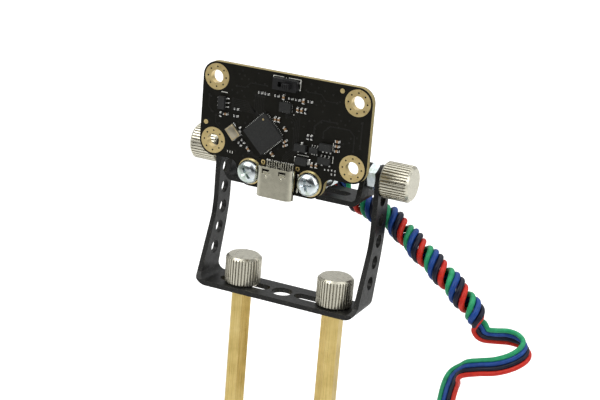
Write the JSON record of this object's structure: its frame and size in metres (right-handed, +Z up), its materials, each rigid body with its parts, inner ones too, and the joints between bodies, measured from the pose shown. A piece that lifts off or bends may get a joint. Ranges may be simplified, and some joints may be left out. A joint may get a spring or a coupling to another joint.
{
  "type": "tilting sensor camera mount",
  "caption": "Curved sheet-metal yoke on two hex standoffs, holding a tilting cradle clamped by knurled thumb screws, with a small ranging camera board and its curled lead.",
  "frame": {"origin": "on the ground plane at the feet of the standoffs, midway between their two tapped holes", "axes": "+X along the base bar, +Y away from the component side of the board, the way the sensor looks, +Z up along the standoffs"},
  "size_m": [0.0884, 0.026, 0.09],
  "materials": {
    "powder_coat": "fine textured black powder coat",
    "nickel": "warm satin nickel plate, knurled",
    "zinc": "bright bluish zinc plate",
    "brass": "machined brass, bright drawn",
    "pcb": "matte black solder mask over glass-epoxy laminate",
    "gold": "immersion gold plating",
    "shell_metal": "satin nickel-plated stamped steel",
    "black_plastic": "moulded black plastic",
    "chip_epoxy": "moulded epoxy, faintly grained",
    "ceramic": "ceramic body with tinned ends",
    "can_metal": "lidded ceramic and metal can",
    "glass": "coated glass",
    "white_plastic": "moulded off-white nylon",
    "tin": "tinned copper alloy",
    "wire_insulation": "soft glossy insulation, green, blue, black and red"
  },
  "bodies": {
    "base": {"standoffs": "brass"},
    "base_thumb_left": {"base_thumb_screw_left": "nickel"},
    "base_thumb_right": {"base_thumb_screw_right": "nickel"},
    "yoke": {"yoke_bracket": "powder_coat", "sensor_lead": "wire_insulation", "lead_end_plug": "white_plastic"},
    "cradle": {"cradle_bracket": "powder_coat", "pivot_nuts": "zinc", "board_spacers": "zinc", "board_screws": "zinc", "board_nuts": "zinc", "sensor_board": "pcb", "hole_plating": "gold", "usb_shell": "shell_metal", "usb_tongue": "black_plastic", "usb_contacts": "tin", "controller_chip": "chip_epoxy", "crystal_can": "can_metal", "switch_housing": "black_plastic", "power_chips": "chip_epoxy", "diode": "chip_epoxy", "chip_passives": "ceramic", "sensor_housing": "black_plastic", "lens_barrel": "black_plastic", "lens_glass": "glass", "emitter_window": "glass", "lead_socket": "white_plastic", "socket_pins": "tin", "lead_plug": "white_plastic"},
    "pivot_thumb_left": {"pivot_thumb_screw_left": "nickel"},
    "pivot_thumb_right": {"pivot_thumb_screw_right": "nickel"},
    "switch_slider": {"switch_slider": "black_plastic"}
  },
  "joints": [
    {"name": "base_thumb_left_turn", "type": "hinge", "parent": "base", "child": "base_thumb_left", "pos_m": [-0.012, 0, 0.036], "axis": [0, 0, 1], "continuous": true},
    {"name": "base_thumb_right_turn", "type": "hinge", "parent": "base", "child": "base_thumb_right", "pos_m": [0.012, 0, 0.036], "axis": [0, 0, 1], "continuous": true},
    {"name": "yoke_slide", "type": "slide", "parent": "base", "child": "yoke", "axis": [1, 0, 0], "range_m": [-0.0003, 0.0031]},
    {"name": "cradle_tilt", "type": "hinge", "parent": "yoke", "child": "cradle", "pos_m": [-0.0014, 0.0055, 0.067], "axis": [1, 0, 0], "range_deg": [-90, 70], "deforming": ["sensor_lead"]},
    {"name": "pivot_thumb_left_turn", "type": "hinge", "parent": "cradle", "child": "pivot_thumb_left", "pos_m": [-0.0224, 0.0055, 0.067], "axis": [1, 0, 0], "continuous": true},
    {"name": "pivot_thumb_right_turn", "type": "hinge", "parent": "cradle", "child": "pivot_thumb_right", "pos_m": [0.0196, 0.0055, 0.067], "axis": [1, 0, 0], "continuous": true},
    {"name": "switch_slide", "type": "slide", "parent": "cradle", "child": "switch_slider", "axis": [1, 0, 0], "range_m": [-0.0015, 0]}
  ]
}
